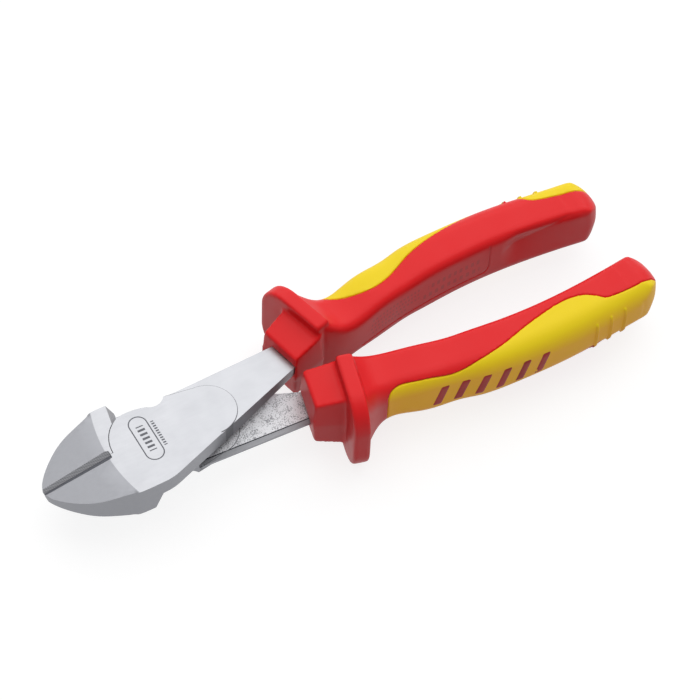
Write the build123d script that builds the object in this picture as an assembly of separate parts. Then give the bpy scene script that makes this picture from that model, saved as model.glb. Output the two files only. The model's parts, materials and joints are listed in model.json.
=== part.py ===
from build123d import *
import math
import os

# Diagonal cutting pliers with insulated handles, drawn closed.
# Tool frame: pivot axis at the origin, mid-plane at z = 0, handles along +X,
# the upper lever's handle at +Y. The lower lever is the upper one turned half
# a turn about X, with a thinner neck and an eased lap face. Millimetres.

length = 180.0          # tip to handle ends
tip_x = -31.2           # jaw tip in the tool frame
head_half = 5.0         # half thickness of the head
neck_drop = 0.2         # the upper neck lies this far below its ground pivot plate
neck_drop_under = 0.9   # the lower neck's forged underside lies this far above its plate
joint_gap = 0.02        # half the gap between the two levers at the mid-plane
edge_gap = 0.03         # half the gap between the closed jaws

lap_radius = 10.8       # round edge of each pivot plate
lap_clearance = 0.2     # between that edge and the other lever's jaw
shoulder_x = -3.6       # jaw shoulder at the mid-plane
shoulder_slope = 2.4    # how far the shoulder leans forward at the outer face
shoulder_turn = 10.0    # how far the shoulder turns forward near the pivot
lap_ease = 0.5          # fall of the lower lap face per millimetre near its rim

bevel_centre = 36.0     # axis of the conical grind on both faces of the jaws
bevel_radius = 48.6     # where the grind meets the ground face
bevel_radius_under = 51.0   # and the face under it
bevel_slope = 0.231     # fall of the grind per millimetre
bevel_reach = 26.0      # length of the grind's cutter, past the tip

groove_half_angle = 57.0    # V groove over the cutting edges, from the vertical
groove_tip_x = tip_x - 2.0  # the groove's ends: x, and height of its bottom line
groove_tip_z = -0.38
groove_back_x = -lap_radius - 0.9
groove_back_z = 4.25

plate_end_x = 17.2      # centre of the pivot plate's round rear end
plate_end_y = 0.6
plate_end_radius = 8.1
plate_notch = (9.0, 10.05)  # the plate's rim runs out here on the outer side

neck_end_x = 46.5       # the necks end here, inside the noses
relief_slope = 0.215    # rise of the neck's forged underside across its width
relief_start_y = -5.6   # where that underside leaves the mid-plane
relief_clear = 13.6     # radius about the pivot that the underside stays out of
ease_start_y = 10.2     # the lower lap face falls away outside this line
ease_reach = 6.0

rivet_radius = 4.0
rivet_clearance = 0.05
rivet_top = 3.4         # blind end inside the upper lever
rivet_head_radius = 6.2
rivet_head_depth = 2.2

guard_half = 13.2       # half height of the guard
guard_thick = 4.7
guard_inner_y = 4.7     # inner end of the guard
guard_outer_y = 26.2    # outer end of the guard
guard_front_x = 52.9    # front face at the inner end
guard_turn = 15.0       # the guard and nose face this many degrees off X
guard_corner = 9.0      # big outer corners
guard_inner_corner = 1.0
guard_edge = 0.7        # rounding of the guard's rim

nose_foot = [(44.3, 1.2), (41.2, 14.6), (50.5, 18.6), (55.0, 3.9)]     # plan at the mid-plane
nose_draft = 4.0
nose_front_half = 7.4   # half height at the front of the nose
nose_back_half = 10.4   # and at its back
nose_front_x = 43.0
nose_run = 14.0

skin = 1.7              # thickness of the soft grip
liner_wall = 1.0

tang_low = -3.0         # the tang inside the handle
tang_high = 3.6
tang_end_x = 116.0
tang_inner = [(46.0, 4.2), (60.0, 8.4), (80.0, 12.6), (tang_end_x, 16.2)]
tang_outer = [(tang_end_x, 20.8), (80.0, 19.2), (60.0, 15.6), (46.0, 11.6)]

inner_round = 2.5       # inner corner radius of the handle section
end_round = 7.3         # rounding of the handle ends, seen from the side
end_half = 7.5          # half height of the handle ends
end_keep = 11.0         # how far the side view's rounded end block reaches forward
end_trim_x = 134.0      # the end's plan trim starts here

# Handle stations: x, y, turn about Z, half width, half height, outer corner radius.
stations = [
    (53.5, 14.2, 15.0, 9.5, 12.3, 4.5),
    (58.3, 12.8, 13.0, 8.3, 9.4, 4.5),
    (62.8, 12.1, 13.5, 7.3, 7.5, 4.5),
    (69.3, 13.2, 14.0, 7.0, 7.5, 4.5),
    (78.5, 15.3, 12.5, 6.9, 7.9, 4.5),
    (88.9, 17.1, 9.0, 7.05, 8.1, 5.0),
    (99.4, 18.2, 4.5, 7.1, 8.2, 5.5),
    (112.0, 18.6, 0.0, 7.05, 8.2, 6.0),
    (124.6, 18.0, -5.0, 7.05, 8.0, 6.0),
    (136.0, 16.8, -7.5, 7.05, 7.7, 5.5),
    (151.0, 14.9, -8.0, 6.8, 7.2, 5.0),
]

# Edge of the soft grip in plan, upper face and lower face of the upper handle.
grip_edge_upper = [
    (61.6, 21.0), (62.2, 17.6), (66.0, 14.9), (74.0, 13.6), (80.5, 14.8),
    (90.2, 19.2), (102.0, 22.3), (115.0, 23.6), (125.0, 22.7), (129.5, 20.2),
    (134.0, 18.4), (142.5, 16.8), (152.0, 17.4),
]
grip_edge_lower = [
    (61.2, 21.0), (62.4, 18.9), (66.2, 18.2), (72.0, 19.8), (80.0, 21.0), (88.0, 20.7),
    (96.0, 19.5), (107.0, 17.2), (119.5, 15.2), (125.5, 16.0), (131.0, 19.4),
    (137.0, 20.4), (144.0, 19.2), (152.0, 17.4),
]


def plan(edges, low, high):
    """Extrude a closed plan outline between two heights."""
    face = make_face(edges)
    return Pos(0, 0, low) * extrude(face, high - low)


def jaw_side():
    """The curved outer side of the near jaw, from the tip to the shoulder."""
    return Spline(
        (tip_x, -edge_gap), (-30.2, -3.0), (-25.0, -8.3), (-19.5, -11.5),
        (-12.0, -13.8), (-3.0, -14.5),
        tangents=((0.0, -1.0), (1.0, 0.03)),
    )


def upper_outline():
    """Plan of the upper lever's top layer: near jaw, pivot plate and neck."""
    far_corner = (-4.7, math.sqrt(lap_radius ** 2 - 4.7 ** 2))
    arc_start = (-math.sqrt(lap_radius ** 2 - edge_gap ** 2), -edge_gap)
    arc_mid = (-9.35, math.sqrt(lap_radius ** 2 - 9.35 ** 2))
    return [
        jaw_side(),
        Spline((-3.0, -14.5), (0.6, -14.0), (4.0, -12.8), tangents=((1.0, 0.03), (0.94, 0.342))),
        Line((4.0, -12.8), (neck_end_x, 2.7)),
        Line((neck_end_x, 2.7), (neck_end_x, 11.2)),
        Line((neck_end_x, 11.2), (12.5, 9.9)),
        Line((12.5, 9.9), (9.0, 10.0)),
        ThreePointArc((9.0, 10.0), (6.4, 8.3), (3.4, 9.1)),
        ThreePointArc((3.4, 9.1), (-0.6, 9.9), far_corner),
        ThreePointArc(far_corner, arc_mid, arc_start),
        Line(arc_start, (tip_x, -edge_gap)),
    ]


def tang_outline(grow):
    """Plan of the tang inside the handle, grown by the given amount."""
    inner = [(x + grow * (x == tang_end_x), y - grow) for x, y in tang_inner]
    outer = [(x + grow * (x == tang_end_x), y + grow) for x, y in tang_outer]
    return Polyline(*inner, *outer, close=True).edges()


def jaw_grind(start_radius):
    """Conical grind that thins the jaws towards the tip, one face."""
    far = start_radius + bevel_reach
    profile = make_face(Polyline(
        (start_radius, head_half),
        (far, head_half + 1.0),
        (far, head_half - bevel_slope * bevel_reach),
        close=True,
    ))
    ring = revolve(Plane.XZ * profile, axis=Axis.Z)
    return (Pos(bevel_centre, 0, 0) * ring) & Pos(-25, 0, 0) * Box(45, 60, 30)


def edge_groove(side):
    """V groove over the cutting edges. side is 1 on the top and -1 below."""
    rise = 8.0
    half = rise * math.tan(math.radians(groove_half_angle))
    sections = []
    for x, z in ((groove_tip_x, groove_tip_z), (groove_back_x, groove_back_z)):
        triangle = make_face(Polyline((0, 0), (half, side * rise), (-half, side * rise), close=True))
        across = Plane(origin=(x, 0, side * z), x_dir=(0, 1, 0), z_dir=(1, 0, 0))
        sections.append(across * triangle)
    return loft(sections)


def neck_relief():
    """Sloping forged underside of the neck, clear of the lap disc."""
    near_y = -14.0
    far_y = 16.0
    low_z = -3.0
    profile = make_face(Polyline(
        (near_y, relief_slope * (near_y - relief_start_y)),
        (far_y, relief_slope * (far_y - relief_start_y)),
        (far_y, low_z),
        (near_y, low_z),
        close=True,
    ))
    across = Plane(origin=(8, 0, 0), x_dir=(0, 1, 0), z_dir=(1, 0, 0))
    return extrude(across * profile, 42) - Cylinder(relief_clear, 40)


def lever_blank(drop, top_radius, under_radius):
    """Either lever before its rivet hole: drawn as the upper one, its neck sunk by drop."""
    top = plan(upper_outline(), joint_gap, head_half)
    shoulder = plan([
        jaw_side(),
        Line((-3.0, -14.5), (-3.0, -edge_gap)),
        Line((-3.0, -edge_gap), (tip_x, -edge_gap)),
    ], -head_half, joint_gap)
    shoulder -= Cylinder(lap_radius + lap_clearance, 40)
    lean = make_face([
        Line((shoulder_x, 0.2), (shoulder_x - shoulder_slope, -head_half)),
        Line((shoulder_x - shoulder_slope, -head_half), (5.0, -head_half - 1.0)),
        Line((5.0, -head_half - 1.0), (5.0, 0.2)),
        Line((5.0, 0.2), (shoulder_x, 0.2)),
    ])
    hinge_line = Pos(shoulder_x, -14.0, 0)
    slant = hinge_line * Rot(0, 0, shoulder_turn) * hinge_line.inverse() * extrude(Plane.XZ * lean, 20)
    slant &= Pos(0, 0, -5 + joint_gap) * Box(60, 60, 10)
    shoulder -= slant
    plate_high = plate_end_y + plate_end_radius
    plate_low = plate_end_y - plate_end_radius
    step = make_face([
        CenterArc((plate_end_x, plate_end_y), plate_end_radius, -90, 180),
        Line((plate_end_x, plate_high), plate_notch),
        Line(plate_notch, (plate_notch[0], 30.0)),
        Line((plate_notch[0], 30.0), (60.0, 30.0)),
        Line((60.0, 30.0), (60.0, -30.0)),
        Line((60.0, -30.0), (plate_end_x, -30.0)),
        Line((plate_end_x, -30.0), (plate_end_x, plate_low)),
    ])
    sunk = Pos(0, 0, head_half - drop) * extrude(step, 2)
    tang = plan(tang_outline(0), tang_low, tang_high)
    blank = top + shoulder - sunk - neck_relief() + tang
    blank -= jaw_grind(top_radius)
    blank -= mirror(jaw_grind(under_radius), Plane.XY)
    blank -= edge_groove(1)
    blank -= edge_groove(-1)
    return blank


def rim_ease():
    """Wedge that eases the lower lever's lap face near its rim."""
    end_y = ease_start_y + ease_reach
    profile = make_face(Polyline(
        (ease_start_y, 0.0),
        (end_y, -lap_ease * ease_reach),
        (end_y, 1.0),
        (ease_start_y, 1.0),
        close=True,
    ))
    return extrude(Plane(origin=(shoulder_x, 0, 0), x_dir=(0, 1, 0), z_dir=(1, 0, 0)) * profile, 16)


def turned(shape):
    """The same shape on the lower lever: half a turn about X."""
    return Rot(180, 0, 0) * shape


def rivet(extra):
    """Pivot rivet with a countersunk head, grown by a clearance."""
    shank_length = rivet_top + head_half
    shank = Pos(0, 0, (rivet_top - head_half) / 2) * Cylinder(rivet_radius + extra, shank_length)
    head = Pos(0, 0, -head_half + rivet_head_depth / 2) * Cone(
        rivet_head_radius + extra, rivet_radius + extra, rivet_head_depth)
    return shank + head


def tilted(x, y):
    """Plane across the handle at the guard, its x axis pointing outboard."""
    turn = math.radians(guard_turn)
    return Plane(
        origin=(x, y, 0),
        x_dir=(-math.sin(turn), math.cos(turn), 0),
        z_dir=(math.cos(turn), math.sin(turn), 0),
    )


def guard():
    """Flat guard that keeps the hand off the metal."""
    reach = (guard_outer_y - guard_inner_y) / math.cos(math.radians(guard_turn))
    plate = Pos(reach / 2, 0) * Rectangle(reach, 2 * guard_half)
    outer = plate.vertices().filter_by(lambda v: v.X > reach - 1)
    plate = fillet(outer, guard_corner)
    inner = plate.vertices().filter_by(lambda v: v.X < 1)
    plate = fillet(inner, guard_inner_corner)
    body = extrude(tilted(guard_front_x, guard_inner_y) * plate, guard_thick)
    rims = body.edges().filter_by(lambda e: e.length > 1.2 and abs(e.center().Z) > 1)
    return fillet(rims, guard_edge)


def nose():
    """Block in front of the guard: drafted both ways from the mid-plane, taller at the back."""
    foot = make_face(Polyline(*nose_foot, close=True))
    upper = extrude(foot, 12.0, taper=nose_draft)
    block = upper + mirror(upper, Plane.XY)
    wedge = make_face(Polyline(
        (0, -nose_front_half),
        (0, nose_front_half),
        (nose_run, nose_back_half),
        (nose_run, -nose_back_half),
        close=True,
    ))
    turn = math.radians(guard_turn)
    side = Plane(
        origin=(nose_front_x, 0.0, 0),
        x_dir=(math.cos(turn), math.sin(turn), 0),
        z_dir=(math.sin(turn), -math.cos(turn), 0),
    )
    return block & extrude(side * wedge, 30, both=True)


def handle_body(inset):
    """Handle solid behind the guard, inset evenly from its outside."""
    sections = []
    for x, y, turn, half_width, half_height, outer_round in stations:
        angle = math.radians(turn)
        where = Plane(
            origin=(x, y, 0),
            x_dir=(-math.sin(angle), math.cos(angle), 0),
            z_dir=(math.cos(angle), math.sin(angle), 0),
        )
        outline = Rectangle(2 * (half_width - inset), 2 * (half_height - inset))
        outer = outline.vertices().filter_by(lambda v: v.X > 0)
        outline = fillet(outer, outer_round - inset)
        inner = outline.vertices().filter_by(lambda v: v.X < 0)
        outline = fillet(inner, inner_round - inset)
        sections.append(where * outline)
    body = loft(sections)
    end_x = tip_x + length - inset
    cap = make_face([
        Line((40, -10), (40, 40)),
        Line((40, 40), (end_trim_x, 40)),
        Line((end_trim_x, 40), (end_x - 8.2, 23.1 - inset)),
        ThreePointArc((end_x - 8.2, 23.1 - inset), (end_x - 2.3, 20.6 - inset), (end_x, 15.8)),
        Line((end_x, 15.8), (end_x - 0.8, 12.8 + inset)),
        ThreePointArc((end_x - 0.8, 12.8 + inset), (end_x - 2.2, 10.2 + inset), (end_x - 5.2, 8.8 + inset)),
        Line((end_x - 5.2, 8.8 + inset), (132.0, -10)),
        Line((132.0, -10), (40, -10)),
    ])
    body &= Pos(0, 0, -20) * extrude(cap, 40)
    reach = end_x - 40.0
    rounded = Pos(end_x - end_keep, 0) * Rectangle(2 * end_keep, 2 * (end_half - inset))
    rounded = fillet(rounded.vertices(), end_round - inset)
    profile = (Pos(40.0 + (reach - end_keep) / 2, 0) * Rectangle(reach - end_keep, 40)) + rounded
    return body & extrude(Plane.XZ * profile, 60, both=True)


def grip_region():
    """Everything outboard of the soft grip's edge, upper and lower halves."""
    halves = []
    for points, low in ((grip_edge_upper, 0.0), (grip_edge_lower, -20.0)):
        face = make_face([
            Spline(*points),
            Line(points[-1], (152.0, 40.0)),
            Line((152.0, 40.0), (61.6, 40.0)),
            Line((61.6, 40.0), points[0]),
        ])
        halves.append(Pos(0, 0, low) * extrude(face, 20))
    return halves[0] + halves[1]


def build():
    blank = lever_blank(neck_drop, bevel_radius, bevel_radius_under)
    pin = rivet(0.0)
    upper_lever = blank - pin
    lower_blank = lever_blank(neck_drop_under, bevel_radius_under, bevel_radius)
    lower_lever = turned(lower_blank) - rivet(rivet_clearance) - rim_ease()

    outside = handle_body(0.0)
    grip = (outside & grip_region()) - handle_body(skin)
    grip = max(grip.solids(), key=lambda solid: solid.volume)
    liner_block = plan(tang_outline(liner_wall), tang_low - liner_wall, tang_high + liner_wall)
    liner_block &= Pos(90, 0, 0) * Box(78, 80, 60)
    liner = liner_block - blank
    shell = outside + guard() + nose()
    shell = shell - grip - liner_block - blank
    pieces = {
        "upper_lever": upper_lever,
        "lower_lever": lower_lever,
        "pivot_rivet": pin,
        "upper_liner": liner,
        "lower_liner": turned(liner),
        "upper_handle_shell": shell,
        "lower_handle_shell": turned(shell),
        "upper_soft_grip": grip,
        "lower_soft_grip": turned(grip),
    }
    to_row = Pos(-(tip_x + length / 2), 0, guard_half)
    os.makedirs("parts", exist_ok=True)
    for name, shape in pieces.items():
        placed = to_row * shape
        print(name, "solids", len(placed.solids()), "volume", round(placed.volume, 1))
        export_step(placed, f"parts/{name}.step")


build()
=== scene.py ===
import json
import math
import bmesh
import bpy
import numpy as np
from mathutils import Matrix, Vector


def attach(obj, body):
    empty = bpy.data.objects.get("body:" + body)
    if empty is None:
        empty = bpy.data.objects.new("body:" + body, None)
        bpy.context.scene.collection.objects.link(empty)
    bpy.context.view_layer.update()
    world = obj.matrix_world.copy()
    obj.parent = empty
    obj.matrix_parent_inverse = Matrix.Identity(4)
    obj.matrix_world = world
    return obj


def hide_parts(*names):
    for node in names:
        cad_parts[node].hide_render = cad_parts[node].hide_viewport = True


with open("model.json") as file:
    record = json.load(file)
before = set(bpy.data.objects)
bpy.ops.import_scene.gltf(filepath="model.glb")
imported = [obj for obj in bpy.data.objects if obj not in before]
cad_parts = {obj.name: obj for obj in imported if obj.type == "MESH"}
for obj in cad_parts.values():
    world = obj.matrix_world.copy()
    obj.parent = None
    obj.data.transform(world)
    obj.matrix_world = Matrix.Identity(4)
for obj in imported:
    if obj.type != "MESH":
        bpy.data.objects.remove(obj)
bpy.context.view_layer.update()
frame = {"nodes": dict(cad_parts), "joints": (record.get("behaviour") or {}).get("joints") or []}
scene = bpy.context.scene
mm = 0.001
pivot = Vector(frame["joints"][0]["pos_m"])   # tool frame: pivot axis and mid-plane of the head
toolFromRow = Matrix.Scale(1 / mm, 4) @ Matrix.Translation(-pivot)
rowFromTool = toolFromRow.inverted()
halfTurn = Matrix.Rotation(math.pi, 4, "X")   # the lower half is the upper one turned about X
print("frame loaded, pivot at", tuple(round(v / mm, 1) for v in pivot))


view = {
    "azimuthDeg": 31.93,       # looks along +Y, turned this far towards +X
    "elevationDeg": 53.07,
    "rollDeg": 2.91,
    "distanceMm": 741.8,
    "lookAtMm": (3.64, 3.06, 13.2),
    "lensMm": 139.96,
}


def addCamera():
    az = math.radians(view["azimuthDeg"])
    el = math.radians(view["elevationDeg"])
    roll = math.radians(view["rollDeg"])
    forward = Vector((math.sin(az) * math.cos(el), math.cos(az) * math.cos(el), -math.sin(el)))
    level = Vector((math.cos(az), -math.sin(az), 0))
    right = level * math.cos(roll) + level.cross(forward) * math.sin(roll)
    up = right.cross(forward)
    place = Vector(view["lookAtMm"]) * mm - forward * view["distanceMm"] * mm
    data = bpy.data.cameras.new("studioCamera")
    data.lens = view["lensMm"]
    data.sensor_width = 36
    data.clip_start = 0.01
    camera = bpy.data.objects.new("studioCamera", data)
    scene.collection.objects.link(camera)
    camera.matrix_world = Matrix((
        (right.x, up.x, -forward.x, place.x),
        (right.y, up.y, -forward.y, place.y),
        (right.z, up.z, -forward.z, place.z),
        (0, 0, 0, 1),
    ))
    scene.camera = camera
    print("camera set")


studio = {
    "keyWay": (0.42, 0.60, 1.0),      # towards the big softbox, behind and above
    "keyDistance": 1.2,
    "keySize": 1.8,
    "keyWatts": 10.0,
    "skyBack": 0.56,                  # soft surround, brighter behind the tool than in front
    "skyFront": 0.46,
    "skyBelow": 0.30,
    "floorHalf": 2.0,
    "floorHex": "#8C8C8C",
    "floorGlow": 0.80,                # lifts the floor to near white and thins the shadows
}


def linear(hexColour):
    parts = [int(hexColour[i:i + 2], 16) / 255 for i in (1, 3, 5)]
    return tuple(p / 12.92 if p <= 0.04045 else ((p + 0.055) / 1.055) ** 2.4 for p in parts) + (1.0,)


def addNode(tree, kind, settings=None):
    # a setting is a property of the node, a value for a socket, or a node or socket to link from
    node = tree.nodes.new(kind)
    for key, value in (settings or {}).items():
        if isinstance(value, bpy.types.Node):
            value = next(socket for socket in value.outputs if socket.enabled)
        if isinstance(value, bpy.types.NodeSocket):
            tree.links.new(value, node.inputs[key])
        elif isinstance(key, str) and key[0].islower():
            setattr(node, key, value)
        else:
            node.inputs[key].default_value = value
    return node


def newMaterial(name, rough, metallic=0.0, ior=None):
    material = bpy.data.materials.new(name)
    material.use_nodes = True
    tree = material.node_tree
    shader = tree.nodes["Principled BSDF"]
    shader.inputs["Roughness"].default_value = rough
    shader.inputs["Metallic"].default_value = metallic
    if ior:
        shader.inputs["IOR"].default_value = ior
    # object coordinates, as millimetres in the tool frame
    place = addNode(tree, "ShaderNodeTexCoord").outputs["Object"]
    moved = addNode(tree, "ShaderNodeVectorMath", {"operation": "SUBTRACT", 0: place, 1: tuple(pivot)})
    scaled = addNode(tree, "ShaderNodeVectorMath", {"operation": "SCALE", 0: moved, "Scale": 1 / mm})
    return material, tree, shader, scaled.outputs[0]


def setSockets(tree, shader, colour, rough=None, height=None, strength=0.2, depthMm=0.04):
    links = {"Base Color": colour}
    if rough:
        links["Roughness"] = rough
    if height:
        links["Normal"] = addNode(tree, "ShaderNodeBump", {
            "Strength": strength, "Distance": depthMm * mm, "Height": height})
    for name, node in links.items():
        tree.links.new(next(socket for socket in node.outputs if socket.enabled), shader.inputs[name])


steel = {
    "faceHex": "#C3C4C8",       # ground flats
    "grindHex": "#A0A1A6",      # conical grind on the jaws
    "sideHex": "#8E8F94",       # trimmed side walls
    "grooveHex": "#7C7D83",
    "hatchHex": "#D8D9DD",
    "forgedHex": "#E4E5E8",
    "pitHex": "#85868B",
    "etchHex": "#5E5F64",
    "cloudHex": "#A4A6AB",
    "grindMarkMm": 0.35,        # grinding marks and pits, drawn coarser than they are so that they show
    "pitMm": 0.32,
    "pitPatchMm": 2.2,
    "cloudMm": 6.0,
    "hatchMm": 0.62,
    "hatchLean": 1.6,
    "grindFall": (0.974, 0.014),    # upward part of the grind's normal, and how far it may differ
    "grooveFall": (0.79, 0.06),     # and of the groove walls' normals
    "flatFall": 0.99,               # a flat's is above this, a side wall's below the next
    "sideFall": 0.5,
    "jawEndX": -5.0,
    "neckStartX": 5.0,
    "rough": (0.34, 0.42),
    "forgedRough": 0.14,            # added on the forging skin
    "cloudShare": 0.22,
    "pitShare": 0.8,
    "etchCentre": (-1.1, 0.1),
    "etchHalfLength": 4.9,
    "etchRadius": 2.5,
    "etchLine": 0.17,
    # rows of the mark: offset across, half height, step, filled share, reach along
    "etchRows": ((0.0, 1.05, 0.72, 0.5, 4.3), (3.7, 0.45, 0.42, 0.55, 4.3)),
    # painted shade: a dark hairline along the pivot plate's step
    "rimCentre": (17.2, 0.6),
    "rimRadius": 8.1,
    "rimHalfLine": 0.10,
    "rimRise": 0.165,
    "rimStartX": 9.5,
    "rimShadeHex": "#77787C",
    "neckEdge": (9.42, 0.038),  # the neck's outer edge: distance from the middle at x = 0, and slope
    "trimHex": "#A2A3A7",       # strip of the neck where the flash was trimmed off
    "trimMm": 1.35,
    # painted shadow: a dark line just inside the trimmed strip of the neck
    "neckShadowLineHex": "#3F4044",
    "neckShadowLineMm": 0.3,
}


def etchedMark(tree, x, y, z, up):
    # plain outlined oblong with a row of blank bars and a row of short ticks, on the upper plate only
    centreX, centreY = steel["etchCentre"]
    fromX = addNode(tree, "ShaderNodeMath", {"operation": "SUBTRACT", 0: x, 1: centreX})
    fromY = addNode(tree, "ShaderNodeMath", {"operation": "SUBTRACT", 0: y, 1: centreY})
    heightY = addNode(tree, "ShaderNodeMath", {"operation": "ABSOLUTE", 0: fromY})
    beyond = addNode(tree, "ShaderNodeMath", {
        "operation": "SUBTRACT", 0: heightY, 1: steel["etchHalfLength"]})
    overY = addNode(tree, "ShaderNodeMath", {"operation": "MAXIMUM", 0: beyond, 1: 0.0})
    offset = addNode(tree, "ShaderNodeCombineXYZ", {0: fromX, 1: overY})
    away = addNode(tree, "ShaderNodeVectorMath", {"operation": "LENGTH", 0: offset}).outputs["Value"]
    mark = addNode(tree, "ShaderNodeMath", {
        "operation": "COMPARE", 0: away, 1: steel["etchRadius"], 2: steel["etchLine"]})
    for rowX, rowHalf, step, share, reach in steel["etchRows"]:
        spaced = addNode(tree, "ShaderNodeMath", {"operation": "PINGPONG", 0: fromY, 1: step})
        dashes = addNode(tree, "ShaderNodeMath", {"operation": "LESS_THAN", 0: spaced, 1: step * share})
        inRow = addNode(tree, "ShaderNodeMath", {"operation": "COMPARE", 0: fromX, 1: rowX, 2: rowHalf})
        inReach = addNode(tree, "ShaderNodeMath", {"operation": "LESS_THAN", 0: heightY, 1: reach})
        row = addNode(tree, "ShaderNodeMath", {"operation": "MULTIPLY", 0: dashes, 1: inRow})
        row = addNode(tree, "ShaderNodeMath", {"operation": "MULTIPLY", 0: row, 1: inReach})
        mark = addNode(tree, "ShaderNodeMath", {"operation": "MAXIMUM", 0: mark, 1: row})
    flat = addNode(tree, "ShaderNodeMath", {"operation": "GREATER_THAN", 0: up, 1: steel["flatFall"]})
    above = addNode(tree, "ShaderNodeMath", {"operation": "GREATER_THAN", 0: z, 1: 0.0})
    mark = addNode(tree, "ShaderNodeMath", {"operation": "MULTIPLY", 0: mark, 1: flat})
    return addNode(tree, "ShaderNodeMath", {"operation": "MULTIPLY", 0: mark, 1: above})


def plateRimShade(tree, x, y, z):
    # painted shade: dark hairline where the ground pivot plate steps down to the neck
    centreX, centreY = steel["rimCentre"]
    side = addNode(tree, "ShaderNodeMath", {"operation": "SIGN", 0: z})
    facingY = addNode(tree, "ShaderNodeMath", {"operation": "MULTIPLY", 0: y, 1: side})
    fromX = addNode(tree, "ShaderNodeMath", {"operation": "SUBTRACT", 0: x, 1: centreX})
    ahead = addNode(tree, "ShaderNodeMath", {"operation": "MINIMUM", 0: fromX, 1: 0.0})
    behind = addNode(tree, "ShaderNodeMath", {"operation": "MAXIMUM", 0: fromX, 1: 0.0})
    rising = addNode(tree, "ShaderNodeMath", {
        "operation": "MULTIPLY_ADD", 0: ahead, 1: steel["rimRise"], 2: facingY})
    fromY = addNode(tree, "ShaderNodeMath", {"operation": "SUBTRACT", 0: rising, 1: centreY})
    offset = addNode(tree, "ShaderNodeCombineXYZ", {0: behind, 1: fromY})
    away = addNode(tree, "ShaderNodeVectorMath", {"operation": "LENGTH", 0: offset}).outputs["Value"]
    ring = addNode(tree, "ShaderNodeMath", {
        "operation": "COMPARE", 0: away, 1: steel["rimRadius"], 2: steel["rimHalfLine"]})
    upperPart = addNode(tree, "ShaderNodeMath", {"operation": "GREATER_THAN", 0: fromY, 1: 0.0})
    onPlate = addNode(tree, "ShaderNodeMath", {"operation": "GREATER_THAN", 0: x, 1: steel["rimStartX"]})
    arc = addNode(tree, "ShaderNodeMath", {"operation": "GREATER_THAN", 0: fromX, 1: 0.0})
    shown = addNode(tree, "ShaderNodeMath", {"operation": "MULTIPLY", 0: upperPart, 1: onPlate})
    shown = addNode(tree, "ShaderNodeMath", {"operation": "MAXIMUM", 0: shown, 1: arc})
    return addNode(tree, "ShaderNodeMath", {"operation": "MULTIPLY", 0: ring, 1: shown})


def neckRim(tree, x, y, forged, nearMm, farMm):
    # strip along the outer edge of a forged neck face, between two distances from that edge
    startY, slope = steel["neckEdge"]
    widthY = addNode(tree, "ShaderNodeMath", {"operation": "ABSOLUTE", 0: y})
    edgeY = addNode(tree, "ShaderNodeMath", {"operation": "MULTIPLY_ADD", 0: x, 1: slope, 2: startY})
    inFrom = addNode(tree, "ShaderNodeMath", {"operation": "SUBTRACT", 0: edgeY, 1: widthY})
    strip = addNode(tree, "ShaderNodeMath", {
        "operation": "COMPARE", 0: inFrom, 1: (nearMm + farMm) / 2, 2: (farMm - nearMm) / 2})
    return addNode(tree, "ShaderNodeMath", {"operation": "MULTIPLY", 0: strip, 1: forged})


def crossCuts(tree, x, y):
    # two runs of fine file cuts that cross, on the wall of the far jaw
    turn = 2 * math.pi / steel["hatchMm"]
    runs = []
    for lean in (steel["hatchLean"], -steel["hatchLean"]):
        leaned = addNode(tree, "ShaderNodeMath", {"operation": "MULTIPLY_ADD", 0: y, 1: lean, 2: x})
        phase = addNode(tree, "ShaderNodeMath", {"operation": "MULTIPLY", 0: leaned, 1: turn})
        runs.append(addNode(tree, "ShaderNodeMath", {"operation": "SINE", 0: phase}))
    both = addNode(tree, "ShaderNodeMath", {"operation": "MAXIMUM", 0: runs[0], 1: runs[1]})
    lines = addNode(tree, "ShaderNodeMapRange", {"Value": both, "From Min": 0.5, "From Max": 0.95})
    farWall = addNode(tree, "ShaderNodeMath", {"operation": "GREATER_THAN", 0: y, 1: 0.0})
    return addNode(tree, "ShaderNodeMath", {"operation": "MULTIPLY", 0: lines, 1: farWall})


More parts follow.
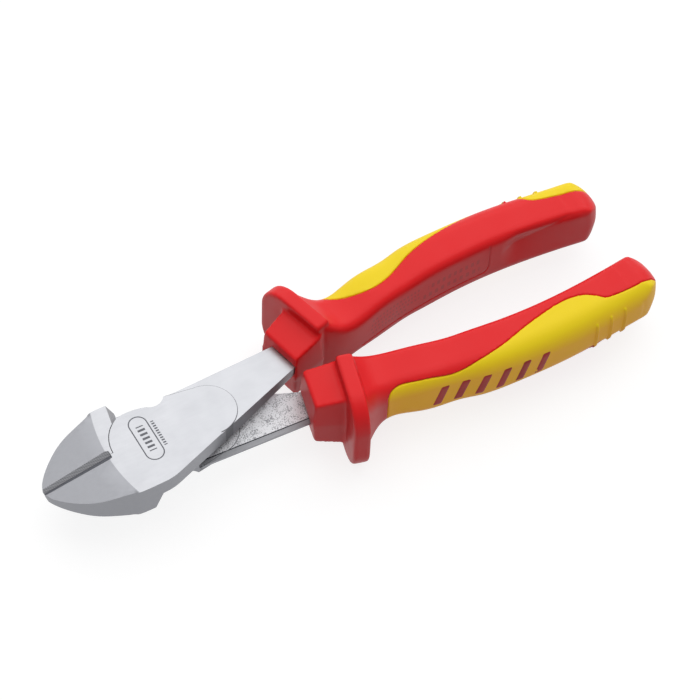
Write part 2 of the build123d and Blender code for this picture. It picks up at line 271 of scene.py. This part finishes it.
def groundSteel(name, etched):
    # chrome-vanadium tool steel, forged, then ground flat and satin finished: bright flats with faint
    # straight grinding marks, duller jaws, grey trimmed sides and a fine-pitted forging skin
    material, tree, shader, coords = newMaterial(name, 0.36, 1.0)
    x, y, z = addNode(tree, "ShaderNodeSeparateXYZ", {0: coords}).outputs
    facing = addNode(tree, "ShaderNodeNewGeometry").outputs["True Normal"]
    rise = addNode(tree, "ShaderNodeSeparateXYZ", {0: facing}).outputs[2]
    up = addNode(tree, "ShaderNodeMath", {"operation": "ABSOLUTE", 0: rise})
    ahead = addNode(tree, "ShaderNodeMath", {"operation": "LESS_THAN", 0: x, 1: steel["jawEndX"]})
    behind = addNode(tree, "ShaderNodeMath", {"operation": "GREATER_THAN", 0: x, 1: steel["neckStartX"]})
    fall, spread = steel["grindFall"]
    sloped = addNode(tree, "ShaderNodeMath", {"operation": "COMPARE", 0: up, 1: fall, 2: spread})
    grind = addNode(tree, "ShaderNodeMath", {"operation": "MULTIPLY", 0: sloped, 1: ahead})
    forged = addNode(tree, "ShaderNodeMath", {"operation": "MULTIPLY", 0: sloped, 1: behind})
    fall, spread = steel["grooveFall"]
    wall = addNode(tree, "ShaderNodeMath", {"operation": "COMPARE", 0: up, 1: fall, 2: spread})
    groove = addNode(tree, "ShaderNodeMath", {"operation": "MULTIPLY", 0: wall, 1: ahead})
    side = addNode(tree, "ShaderNodeMath", {"operation": "LESS_THAN", 0: up, 1: steel["sideFall"]})
    stretched = addNode(tree, "ShaderNodeMapping", {"Vector": coords, "Scale": (0.08, 1.0, 1.0)})
    marks = addNode(tree, "ShaderNodeTexNoise", {
        "Vector": stretched, "Scale": 1 / steel["grindMarkMm"], "Detail": 3.0})
    cloud = addNode(tree, "ShaderNodeTexNoise", {
        "Vector": coords, "Scale": 1 / steel["cloudMm"], "Detail": 3.0})
    pits = addNode(tree, "ShaderNodeTexNoise", {"Vector": coords, "Scale": 1 / steel["pitMm"], "Detail": 4.0})
    patches = addNode(tree, "ShaderNodeTexNoise", {
        "Vector": coords, "Scale": 1 / steel["pitPatchMm"], "Detail": 3.0})
    pitField = addNode(tree, "ShaderNodeMath", {"operation": "MULTIPLY_ADD", 0: patches, 1: 0.5, 2: pits})
    pitMask = addNode(tree, "ShaderNodeMapRange", {
        "Value": pitField, "From Min": 0.62, "From Max": 0.74, "To Min": steel["pitShare"], "To Max": 0.0})
    hazed = addNode(tree, "ShaderNodeMapRange", {
        "Value": cloud, "From Min": 0.3, "From Max": 0.7, "To Max": steel["cloudShare"]})
    skin = addNode(tree, "ShaderNodeMix", {
        "data_type": "RGBA", 0: pitMask, 6: linear(steel["forgedHex"]), 7: linear(steel["pitHex"])})
    cuts = crossCuts(tree, x, y)
    cutWall = addNode(tree, "ShaderNodeMix", {
        "data_type": "RGBA", 0: cuts, 6: linear(steel["grooveHex"]), 7: linear(steel["hatchHex"])})
    trimEnd = steel["trimMm"]
    shadowLineEnd = trimEnd + steel["neckShadowLineMm"]
    # masks and colours, each over the one before
    layers = [
        (hazed, linear(steel["cloudHex"])),
        (grind, linear(steel["grindHex"])),
        (side, linear(steel["sideHex"])),
        (forged, skin),
        (neckRim(tree, x, y, forged, -1.0, trimEnd), linear(steel["trimHex"])),
        # painted shadow: dark line just inside the trimmed strip
        (neckRim(tree, x, y, forged, trimEnd, shadowLineEnd), linear(steel["neckShadowLineHex"])),
        # painted shade along the pivot plate's step
        (plateRimShade(tree, x, y, z), linear(steel["rimShadeHex"])),
        (groove, cutWall),
    ]
    if etched:
        layers.append((etchedMark(tree, x, y, z, up), linear(steel["etchHex"])))
    colour = addNode(tree, "ShaderNodeRGB")
    colour.outputs[0].default_value = linear(steel["faceHex"])
    for mask, over in layers:
        colour = addNode(tree, "ShaderNodeMix", {"data_type": "RGBA", 0: mask, 6: colour, 7: over})
    smoothest, roughest = steel["rough"]
    satin = addNode(tree, "ShaderNodeMapRange", {
        "Value": marks, "From Min": 0.3, "From Max": 0.7, "To Min": smoothest, "To Max": roughest})
    rough = addNode(tree, "ShaderNodeMath", {
        "operation": "MULTIPLY_ADD", 0: forged, 1: steel["forgedRough"], 2: satin})
    pitted = addNode(tree, "ShaderNodeMath", {"operation": "MULTIPLY", 0: pitField, 1: forged})
    height = addNode(tree, "ShaderNodeMath", {"operation": "MULTIPLY_ADD", 0: marks, 1: 0.10, 2: pitted})
    setSockets(tree, shader, colour, rough, height, 0.5, 0.10)
    return material


rivetLook = {
    "ringMm": 0.4, "cloudMm": 1.5, "rough": (0.30, 0.40), "brightHex": "#B4B5B9", "dullHex": "#9A9BA0",
}


def facedSteel():
    # plain steel rivet, set and faced flush: rings left by the facing cut
    material, tree, shader, coords = newMaterial("rivetSteelFaced", 0.34, 1.0)
    flat = addNode(tree, "ShaderNodeVectorMath", {"operation": "MULTIPLY", 0: coords, 1: (1, 1, 0)})
    away = addNode(tree, "ShaderNodeVectorMath", {"operation": "LENGTH", 0: flat}).outputs["Value"]
    turn = 2 * math.pi / rivetLook["ringMm"]
    phase = addNode(tree, "ShaderNodeMath", {"operation": "MULTIPLY", 0: away, 1: turn})
    rings = addNode(tree, "ShaderNodeMath", {"operation": "SINE", 0: phase})
    cloud = addNode(tree, "ShaderNodeTexNoise", {
        "Vector": coords, "Scale": 1 / rivetLook["cloudMm"], "Detail": 3.0})
    colour = addNode(tree, "ShaderNodeMix", {
        "data_type": "RGBA", 0: cloud, 6: linear(rivetLook["brightHex"]), 7: linear(rivetLook["dullHex"])})
    smoothest, roughest = rivetLook["rough"]
    rough = addNode(tree, "ShaderNodeMapRange", {
        "Value": rings, "From Min": -1.0, "To Min": smoothest, "To Max": roughest})
    setSockets(tree, shader, colour, rough, rings, 0.25, 0.03)
    return material


linerLook = {"paleHex": "#D9CDA8", "darkHex": "#CFC29C", "flowMm": 3.0}


def linerPlastic():
    # pale polypropylene liner, moulded on the tang: even and matt, with faint flow lines
    material, tree, shader, coords = newMaterial("linerPolypropyleneMoulded", 0.6, 0.0, 1.49)
    stretched = addNode(tree, "ShaderNodeMapping", {"Vector": coords, "Scale": (0.3, 1.0, 1.0)})
    flow = addNode(tree, "ShaderNodeTexNoise", {
        "Vector": stretched, "Scale": 1 / linerLook["flowMm"], "Detail": 3.0})
    colour = addNode(tree, "ShaderNodeMix", {
        "data_type": "RGBA", 0: flow, 6: linear(linerLook["paleHex"]), 7: linear(linerLook["darkHex"])})
    setSockets(tree, shader, colour, None, flow, 0.2, 0.04)
    return material


plastic = {
    "redHex": "#F00812",
    # painted shade: the darker red for steep sides, against redHex on the tops
    "redPaintedShadeHex": "#C4060F",
    "yellowTopHex": "#FFE00A",
    # painted shade: the orange for steep sides, against the lemon tops
    "yellowPaintedShadeHex": "#FFB400",
    "markHex": "#B01812",
    "markDeepHex": "#98130F",
    "grainMm": 0.30,            # spark-eroded grain, drawn about twice its real size so that it shows
    "cloudMm": 7.0,
    "sheen": 0.30,              # the grain swallows part of the mirror-like share
    "paintedShadeRise": (-0.1, 0.85),  # upward part of the normal, from the painted-shade colour of steep sides to the top one
}


tickRows = {
    # height, half height, tick step, first x, last x
    "rows": (
        (3.0, 0.42, 0.62, 71.0, 88.5), (1.3, 0.42, 0.55, 71.0, 88.5), (-0.4, 0.42, 0.66, 71.0, 88.5),
        (-2.1, 0.42, 0.58, 71.0, 84.0), (1.9, 0.85, 0.95, 91.5, 109.0), (-1.5, 0.85, 1.05, 90.0, 109.0),
    ),
    "share": 0.5,
    "facing": -0.7,             # the inner side's normals point in at least this much
    "markHex": "#8A0A12",
    "strength": 0.42,
}


def tickMask(tree, coords):
    # rows of plain ticks on the handle's inner side, where such tools carry moulded marks
    x, y, z = addNode(tree, "ShaderNodeSeparateXYZ", {0: coords}).outputs
    facing = addNode(tree, "ShaderNodeNewGeometry").outputs["True Normal"]
    facingY = addNode(tree, "ShaderNodeSeparateXYZ", {0: facing}).outputs[1]
    side = addNode(tree, "ShaderNodeMath", {"operation": "SIGN", 0: y})
    height = addNode(tree, "ShaderNodeMath", {"operation": "MULTIPLY", 0: z, 1: side})
    inward = addNode(tree, "ShaderNodeMath", {"operation": "MULTIPLY", 0: facingY, 1: side})
    inner = addNode(tree, "ShaderNodeMath", {"operation": "LESS_THAN", 0: inward, 1: tickRows["facing"]})
    mask = None
    for middle, half, step, firstX, lastX in tickRows["rows"]:
        spaced = addNode(tree, "ShaderNodeMath", {"operation": "PINGPONG", 0: x, 1: step})
        ticks = addNode(tree, "ShaderNodeMath", {
            "operation": "LESS_THAN", 0: spaced, 1: step * tickRows["share"]})
        inRow = addNode(tree, "ShaderNodeMath", {"operation": "COMPARE", 0: height, 1: middle, 2: half})
        inReach = addNode(tree, "ShaderNodeMath", {
            "operation": "COMPARE", 0: x, 1: (firstX + lastX) / 2, 2: (lastX - firstX) / 2})
        row = addNode(tree, "ShaderNodeMath", {"operation": "MULTIPLY", 0: ticks, 1: inRow})
        row = addNode(tree, "ShaderNodeMath", {"operation": "MULTIPLY", 0: row, 1: inReach})
        mask = addNode(tree, "ShaderNodeMath", {"operation": "MAXIMUM", 0: mask, 1: row}) if mask else row
    return addNode(tree, "ShaderNodeMath", {"operation": "MULTIPLY", 0: mask, 1: inner})


def grainedPlastic(name, rough, ior, firstHex, secondHex, shadeBySlope=False, ticked=False):
    material, tree, shader, coords = newMaterial(name, rough, 0.0, ior)
    shader.inputs["Specular IOR Level"].default_value = plastic["sheen"]
    cloud = addNode(tree, "ShaderNodeTexNoise", {
        "Vector": coords, "Scale": 1 / plastic["cloudMm"], "Detail": 3.0})
    share = addNode(tree, "ShaderNodeMapRange", {"Value": cloud, "From Min": 0.3, "From Max": 0.7})
    # painted shade: steep faces get the first, darker colour and level tops the second, lighter one
    if shadeBySlope:
        facing = addNode(tree, "ShaderNodeNewGeometry").outputs["Normal"]
        rise = addNode(tree, "ShaderNodeSeparateXYZ", {0: facing}).outputs[2]
        steep, level = plastic["paintedShadeRise"]
        slope = addNode(tree, "ShaderNodeMapRange", {"Value": rise, "From Min": steep, "From Max": level})
        share = addNode(tree, "ShaderNodeMath", {"operation": "MULTIPLY_ADD", 0: share, 1: 0.08, 2: slope})
    colour = addNode(tree, "ShaderNodeMix", {
        "data_type": "RGBA", 0: share, 6: linear(firstHex), 7: linear(secondHex)})
    satin = addNode(tree, "ShaderNodeMapRange", {
        "Value": cloud, "From Min": 0.3, "From Max": 0.7, "To Min": rough - 0.04, "To Max": rough + 0.05})
    grain = addNode(tree, "ShaderNodeTexNoise", {
        "Vector": coords, "Scale": 1 / plastic["grainMm"], "Detail": 3.0})
    if ticked:
        ticks = addNode(tree, "ShaderNodeMath", {
            "operation": "MULTIPLY", 0: tickMask(tree, coords), 1: tickRows["strength"]})
        colour = addNode(tree, "ShaderNodeMix", {
            "data_type": "RGBA", 0: ticks, 6: colour, 7: linear(tickRows["markHex"])})
    setSockets(tree, shader, colour, satin, grain, 0.18, 0.04)
    return material


def redPlastic():
    # polyamide, injection moulded with a fine grain: satin and deep red, with painted light and shade:
    # brighter on the tops and darker on the steep sides
    colours = plastic["redPaintedShadeHex"], plastic["redHex"]
    return grainedPlastic("redPolyamideMoulded", 0.42, 1.53, *colours, shadeBySlope=True, ticked=True)


def yellowRubber():
    # soft elastomer moulded over the shell: dry satin, with painted shade: warmer in hue on the steep sides
    # than on the tops
    colours = plastic["yellowPaintedShadeHex"], plastic["yellowTopHex"]
    return grainedPlastic("yellowElastomerMoulded", 0.50, 1.50, *colours, shadeBySlope=True)


def markPlastic():
    # the handle's polyamide showing through the grip as plain inlaid bars: darker, dull satin
    colours = plastic["markHex"], plastic["markDeepHex"]
    return grainedPlastic("inlaidPolyamideMoulded", 0.46, 1.53, *colours)


# shell and soft grip are one smooth outside, cut apart along the grip's edge
handle = {
    "joinMm": 0.003,
    "voxelMm": 0.45,
    "softenSteps": 7,
    "grooveHalfWidth": 0.28,
    "grooveDepth": 0.38,
    "gripBackMm": 1.5,
    "gripGapMm": 0.1,           # between the grip's back and the hollow in the shell
    "onGrip": (100.0, 25.3, 0.0),
    # the grip's edge in plan, upper and lower face of the upper handle
    "edgeAbove": [
        (61.6, 27.0), (61.6, 21.0), (62.2, 17.6), (66.0, 14.9), (74.0, 13.6), (80.5, 14.8),
        (90.2, 19.2), (102.0, 22.7), (115.0, 24.6), (126.0, 24.6), (128.5, 22.6), (130.5, 19.9),
        (136.0, 18.3), (143.0, 17.3), (153.0, 16.4),
    ],
    "edgeBelow": [
        (61.2, 27.0), (61.2, 21.0), (62.2, 18.6), (65.8, 17.6), (72.0, 19.3), (80.0, 21.1),
        (88.0, 21.2), (96.0, 20.1), (107.0, 17.1), (118.0, 15.1), (124.5, 15.6), (128.3, 17.8),
        (130.6, 19.5), (137.0, 19.7), (143.0, 19.3), (153.0, 18.0),
    ],
    "farY": 60.0,               # the area inside an edge line is closed out here
    "faceBlend": 3.0,           # the two edges merge over this height about the mid-plane
}


def smoothCurve(points, steps=10):
    # Catmull-Rom line through the points
    pts = np.array([points[0]] + list(points) + [points[-1]], float)
    t = np.linspace(0, 1, steps, endpoint=False)[:, None]
    runs = []
    for a, b, c, d in zip(pts, pts[1:], pts[2:], pts[3:]):
        square = (2 * a - 5 * b + 4 * c - d) * t ** 2
        cube = (3 * b - a - 3 * c + d) * t ** 3
        runs.append(0.5 * (2 * b + (c - a) * t + square + cube))
    return np.vstack(runs + [pts[-1:]])


def planDistance(xy, line, farY):
    # signed distance to the line, positive on its outer side
    best = np.full(len(xy), 1e9)
    inside = np.zeros(len(xy), bool)
    closed = np.vstack([line, [(line[-1][0], farY), (line[0][0], farY)], line[:1]])
    for i, (a, b) in enumerate(zip(closed, closed[1:])):
        run = b - a
        if i < len(line) - 1:
            t = np.clip(((xy - a) @ run) / (run @ run), 0, 1)
            best = np.minimum(best, np.hypot(*(xy - a - t[:, None] * run).T))
        if a[1] != b[1]:
            spans = (a[1] > xy[:, 1]) != (b[1] > xy[:, 1])
            inside ^= spans & (xy[:, 0] < a[0] + (xy[:, 1] - a[1]) * run[0] / run[1])
    return np.where(inside, best, -best)


def smoothStep(value, low, high):
    t = np.clip((value - low) / (high - low), 0, 1)
    return t * t * (3 - 2 * t)


edgeLines = [smoothCurve(handle[name]) for name in ("edgeAbove", "edgeBelow")]


def gripEdge(co):
    above, below = (planDistance(co[:, :2], line, handle["farY"]) for line in edgeLines)
    share = smoothStep(co[:, 2], -handle["faceBlend"], handle["faceBlend"])
    return share * above + (1 - share) * below


def anywhere(co, normals):
    return np.ones(len(co), bool)


# shallow frame line on the handle's inner side, open towards the guard and the top
panel = {
    "startX": 68.0, "endX": 112.0, "lowZ": -4.3, "topZ": 6.6, "corner": 2.6, "halfWidth": 0.3, "depth": 0.35,
    "limitX": 118, "facing": -0.35,
}


def panelLine(co):
    qx = co[:, 0] - (panel["endX"] - panel["corner"])
    qz = panel["lowZ"] + panel["corner"] - co[:, 2]
    outside = np.hypot(np.maximum(qx, 0), np.maximum(qz, 0))
    return outside + np.minimum(np.maximum(qx, qz), 0) - panel["corner"]


def innerSide(co, normals):
    inReach = (co[:, 0] > panel["startX"]) & (co[:, 0] < panel["limitX"]) & (co[:, 2] < panel["topZ"])
    return (normals[:, 1] < panel["facing"]) & inReach


inlay = {
    "firstX": 76.6, "pitch": 6.0, "count": 6, "halfWidth": 1.2, "halfHeight": 3.7, "slant": -0.30,
    "round": 0.4, "raise": 0.14, "wall": 0.15, "slack": 0.02, "startX": 70, "endX": 118, "facing": 0.2,
}


def inlayBars(co):
    # distance to the nearest of a row of slanted rounded bars
    best = np.full(len(co), 1e9)
    for i in range(inlay["count"]):
        middle = inlay["firstX"] + i * inlay["pitch"] + inlay["slant"] * co[:, 2]
        dx = np.abs(co[:, 0] - middle) - inlay["halfWidth"] + inlay["round"]
        dz = np.abs(co[:, 2]) - inlay["halfHeight"] + inlay["round"]
        outside = np.hypot(np.maximum(dx, 0), np.maximum(dz, 0))
        best = np.minimum(best, outside + np.minimum(np.maximum(dx, dz), 0) - inlay["round"])
    return best


def outerSide(co, normals):
    return (normals[:, 1] > inlay["facing"]) & (co[:, 0] > inlay["startX"]) & (co[:, 0] < inlay["endX"])


ribs = {
    "atX": (124.4, 129.3, 134.2), "halfWidth": 0.45, "halfHeight": 5.3, "middleZ": 0.4, "rise": 0.5,
    "wall": 0.16, "startX": 120, "endX": 138, "facing": 0.3,
}


def ribField(co):
    # distance to the nearest rib's outline, seen from the outer side
    best = np.full(len(co), 1e9)
    for x in ribs["atX"]:
        away = np.abs(co[:, 0] - x) - ribs["halfWidth"]
        best = np.minimum(best, np.maximum(away, np.abs(co[:, 2] - ribs["middleZ"]) - ribs["halfHeight"]))
    return best


def ribZone(co, normals):
    return (normals[:, 1] > ribs["facing"]) & (co[:, 0] > ribs["startX"]) & (co[:, 0] < ribs["endX"])


scoop = {
    "leadX": 115.5, "startX": 121.6, "endX": 140.5, "creaseZ": 2.6, "creaseRise": 0.30, "ridge": 0.4,
    "lowZ": -5.0, "topZ": 7.9, "depth": 1.5, "facing": (0.3, 0.8),
}


def scoopDepth(co, normals):
    # shallow finger hollow under the inner ridge, deepest along a crease that climbs to the ridge
    x, z = co[:, 0], co[:, 2]
    crease = scoop["creaseZ"] + scoop["creaseRise"] * (x - scoop["startX"])
    crease = np.minimum(crease, scoop["topZ"] - scoop["ridge"])
    above = np.clip((scoop["topZ"] - z) / (scoop["topZ"] - crease), 0, 1)
    below = np.clip((z - scoop["lowZ"]) / (crease - scoop["lowZ"]), 0, 1)
    along = smoothStep(x, scoop["leadX"], scoop["startX"])
    along *= 1 - np.clip((x - scoop["startX"]) / (scoop["endX"] - scoop["startX"]), 0, 1)
    return scoop["depth"] * along * np.minimum(above, below) * smoothStep(-normals[:, 1], *scoop["facing"])


ending = {
    "startX": 137.0, "endX": 148.8, "middleY": 15.5, "halfY": 7.2, "halfZ": 7.2, "pull": 2.6, "corner": 1.5,
}


def bend(bm):
    # draws the corners of the handle's end forward, so that the end is rounded both ways
    for vert in bm.verts:
        x, y, z = vert.co
        share = min(max((x - ending["startX"]) / (ending["endX"] - ending["startX"]), 0), 1)
        acrossY = min(abs(y - ending["middleY"]) / ending["halfY"], 1)
        acrossZ = min(abs(z) / ending["halfZ"], 1)
        vert.co.x -= ending["pull"] * share * (acrossY * acrossZ) ** ending["corner"]


def arraysOf(bm):
    bm.normal_update()
    bm.verts.index_update()
    co = np.array([v.co for v in bm.verts])
    normals = np.array([v.normal for v in bm.verts])
    return co, normals


def scoreLine(bm, field, level, where):
    # puts a run of edges exactly where the field has this level, and returns its vertices
    co, normals = arraysOf(bm)
    values = field(co) - level
    allowed = where(co, normals)
    edges = list(bm.edges)
    ends = np.array([(e.verts[0].index, e.verts[1].index) for e in edges])
    first, second = values[ends[:, 0]], values[ends[:, 1]]
    crossed = np.nonzero((first * second < 0) & allowed[ends[:, 0]] & allowed[ends[:, 1]])[0]
    onLine, moved, toSplit = [], set(), []
    for i in crossed:
        edge = edges[i]
        a, b = edge.verts
        share = first[i] / (first[i] - second[i])
        near = a if share < 0.25 else b if share > 0.75 else None
        if near is None:
            toSplit.append((edge, a, share))
        elif near not in moved:
            near.co = a.co.lerp(b.co, share) if near is a else a.co.lerp(b.co, share)
            moved.add(near)
            onLine.append(near)
    for edge, a, share in toSplit:
        if edge.verts[0] in moved or edge.verts[1] in moved:
            continue
        onLine.append(bmesh.utils.edge_split(edge, a, share)[1])
    bmesh.ops.connect_verts(bm, verts=onLine)
    return onLine


def shift(bm, heights, normals):
    for vert, height, normal in zip(bm.verts, heights, normals):
        if abs(height) > 1e-4:
            vert.co += Vector(normal) * height


def press(bm, verts, depth):
    bm.normal_update()
    for vert, normal in [(v, v.normal.copy()) for v in verts]:
        vert.co -= normal * depth


def applied(mesh, modifiers):
    # the mesh after the given modifiers
    holder = bpy.data.objects.new("holder", mesh)
    scene.collection.objects.link(holder)
    for kind, settings in modifiers:
        modifier = holder.modifiers.new(kind.lower(), kind)
        for key, value in settings.items():
            setattr(modifier, key, value)
    result = bpy.data.meshes.new_from_object(holder.evaluated_get(bpy.context.evaluated_depsgraph_get()))
    bpy.data.objects.remove(holder)
    return result


def handleOutside():
    # one closed outside from the upper shell and grip, with softened edges
    bm = bmesh.new()
    for node in ("upper_handle_shell", "upper_soft_grip"):
        bm.from_mesh(frame["nodes"][node].data)
    bm.transform(toolFromRow)
    bmesh.ops.remove_doubles(bm, verts=bm.verts, dist=handle["joinMm"])
    mesh = bpy.data.meshes.new("outside")
    bm.to_mesh(mesh)
    bm.free()
    return applied(mesh, [
        ("REMESH", {"mode": "VOXEL", "voxel_size": handle["voxelMm"]}),
        ("SMOOTH", {"factor": 0.5, "iterations": handle["softenSteps"]}),
    ])


def patchFrom(bm, line, seedPoint):
    # faces reached from the one nearest the seed without crossing the line
    barrier = set(line)
    seed = min(bm.faces, key=lambda f: (f.calc_center_median() - Vector(seedPoint)).length_squared)
    reached, front = {seed}, [seed]
    while front:
        face = front.pop()
        for edge in face.edges:
            if edge.verts[0] in barrier and edge.verts[1] in barrier:
                continue
            for other in edge.link_faces:
                if other not in reached:
                    reached.add(other)
                    front.append(other)
    return reached


def keepFaces(wanted, backing, depth):
    # copies the wanted faces, and closes the patch given as backing with an offset floor and rim
    bm = bmesh.new()
    copies = {}

    def copyOf(vert, offset):
        key = (vert.index, offset)
        if key not in copies:
            copies[key] = bm.verts.new(vert.co - vert.normal * (depth if offset else 0.0))
        return copies[key]

    for face in wanted:
        new = bm.faces.new([copyOf(v, False) for v in face.verts])
        new.material_index = face.material_index
        new.smooth = True
    for face in backing:
        corners = [copyOf(v, True) for v in face.verts]
        bm.faces.new(corners[::-1]).smooth = True
        for loop in face.loops:
            others = [f for f in loop.edge.link_faces if f not in backing]
            if others:
                a, b = loop.vert, loop.link_loop_next.vert
                ring = [copyOf(b, False), copyOf(a, False), copyOf(a, True), copyOf(b, True)]
                bm.faces.new(ring).smooth = True
    bmesh.ops.recalc_face_normals(bm, faces=bm.faces)
    return bm


def makeHandles():
    bm = bmesh.new()
    bm.from_mesh(handleOutside())
    print("handle outside", len(bm.faces), "faces")
    co, normals = arraysOf(bm)
    shift(bm, -scoopDepth(co, normals), normals)
    bend(bm)
    for level in (0.0, -ribs["wall"]):
        scoreLine(bm, ribField, level, ribZone)
    co, normals = arraysOf(bm)
    onRib = (ribField(co) < -ribs["wall"] / 2) & ribZone(co, normals)
    shift(bm, np.where(onRib, ribs["rise"], 0.0), normals)
    width = handle["grooveHalfWidth"]
    for level in (-width, width):
        scoreLine(bm, gripEdge, level, anywhere)
    seam = scoreLine(bm, gripEdge, 0.0, anywhere)
    patch = patchFrom(bm, seam, handle["onGrip"])
    patchVerts = {v for f in patch for v in f.verts}
    press(bm, [v for v in seam if v in patchVerts], handle["grooveDepth"])
    for level in (-panel["halfWidth"], panel["halfWidth"]):
        scoreLine(bm, panelLine, level, innerSide)
    press(bm, scoreLine(bm, panelLine, 0.0, innerSide), panel["depth"])
    scoreLine(bm, inlayBars, 0.0, outerSide)
    co, normals = arraysOf(bm)
    bars = inlayBars(co)
    inBars = (bars < inlay["slack"]) & (normals[:, 1] > inlay["facing"])
    shift(bm, np.where(inBars & (bars < -inlay["wall"]), inlay["raise"], 0.0), normals)
    for face in bm.faces:
        if all(inBars[v.index] for v in face.verts):
            face.material_index = 1
    print("ribs, grip edge, frame line and bars cut")
    patch = patchFrom(bm, seam, handle["onGrip"])
    rest = [f for f in bm.faces if f not in patch]
    bm.normal_update()
    bm.verts.index_update()
    shell = keepFaces(rest, patch, handle["gripBackMm"])
    grip = keepFaces(patch, patch, handle["gripBackMm"] - handle["gripGapMm"])
    pieces = {
        "handle_shell": (shell, [redPlastic()]),
        "soft_grip": (grip, [yellowRubber(), markPlastic()]),
    }
    for side, body, turn in (("upper", "upper_half", Matrix.Identity(4)), ("lower", "lower_half", halfTurn)):
        for kind, (source, materials) in pieces.items():
            mesh = bpy.data.meshes.new(f"{side}_{kind}_moulded")
            source.to_mesh(mesh)
            mesh.transform(rowFromTool @ turn)
            for material in materials:
                mesh.materials.append(material)
            piece = bpy.data.objects.new(f"{side}_{kind}_moulded", mesh)
            scene.collection.objects.link(piece)
            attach(piece, body)
            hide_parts(f"{side}_{kind}")
            print(piece.name, len(mesh.polygons), "faces")


leverEdges = {"weldMm": 0.002, "widthMm": 0.16, "segments": 2, "angleDeg": 28, "flatWeight": 100}


def dressMetal():
    looks = {
        "upper_lever": groundSteel("toolSteelGroundUpper", True),
        "lower_lever": groundSteel("toolSteelGroundLower", False),
        "pivot_rivet": facedSteel(),
        "upper_liner": linerPlastic(),
    }
    looks["lower_liner"] = looks["upper_liner"]
    for node, material in looks.items():
        piece = frame["nodes"][node]
        piece.data.materials.clear()
        piece.data.materials.append(material)
        if node.endswith("lever"):
            weld = piece.modifiers.new("weld", "WELD")
            weld.merge_threshold = leverEdges["weldMm"] * mm
            bevel = piece.modifiers.new("edges", "BEVEL")
            bevel.width = leverEdges["widthMm"] * mm
            bevel.segments = leverEdges["segments"]
            bevel.limit_method = "ANGLE"
            bevel.angle_limit = math.radians(leverEdges["angleDeg"])
            shading = piece.modifiers.new("shading", "WEIGHTED_NORMAL")
            shading.weight = leverEdges["flatWeight"]
            shading.keep_sharp = False
    print("metal dressed")


def addStudio():
    data = bpy.data.lights.new("backSoftbox", "AREA")
    data.energy = studio["keyWatts"]
    data.size = studio["keySize"]
    light = bpy.data.objects.new("backSoftbox", data)
    way = Vector(studio["keyWay"]).normalized()
    light.location = way * studio["keyDistance"]
    light.rotation_euler = way.to_track_quat("Z", "Y").to_euler()
    scene.collection.objects.link(light)
    world = bpy.data.worlds.new("studio")
    scene.world = world
    world.use_nodes = True
    tree = world.node_tree
    coords = addNode(tree, "ShaderNodeTexCoord").outputs["Generated"]
    facing = addNode(tree, "ShaderNodeVectorMath", {"operation": "DOT_PRODUCT", 0: coords, 1: tuple(way)})
    towards = facing.outputs["Value"]
    height = addNode(tree, "ShaderNodeSeparateXYZ", {0: coords}).outputs[2]
    around = addNode(tree, "ShaderNodeMapRange", {
        "Value": towards, "From Min": -0.2, "From Max": 0.7,
        "To Min": studio["skyFront"], "To Max": studio["skyBack"]})
    below = addNode(tree, "ShaderNodeMapRange", {
        "Value": height, "From Min": -0.25, "From Max": 0.0, "To Min": 1.0, "To Max": 0.0})
    strength = addNode(tree, "ShaderNodeMix", {
        "data_type": "FLOAT", 0: below, 2: around, 3: studio["skyBelow"]})
    background = tree.nodes["Background"]
    tree.links.new(strength.outputs[0], background.inputs["Strength"])
    background.inputs["Color"].default_value = (1, 1, 1, 1)
    bm = bmesh.new()
    half = studio["floorHalf"]
    corners = [bm.verts.new((sx * half, sy * half, 0)) for sx, sy in ((-1, -1), (1, -1), (1, 1), (-1, 1))]
    bm.faces.new(corners)
    mesh = bpy.data.meshes.new("floor")
    bm.to_mesh(mesh)
    floor = bpy.data.objects.new("floor", mesh)
    scene.collection.objects.link(floor)
    material, _, shader, _ = newMaterial("paleFloorPaper", 0.8)
    shader.inputs["Base Color"].default_value = linear(studio["floorHex"])
    shader.inputs["Emission Color"].default_value = (1, 1, 1, 1)
    shader.inputs["Emission Strength"].default_value = studio["floorGlow"]
    mesh.materials.append(material)
    floor.visible_diffuse = False       # keeps the floor's bounce off the steep sides
    scene.view_settings.view_transform = "Standard"
    print("studio ready")


addCamera()
addStudio()
dressMetal()
makeHandles()
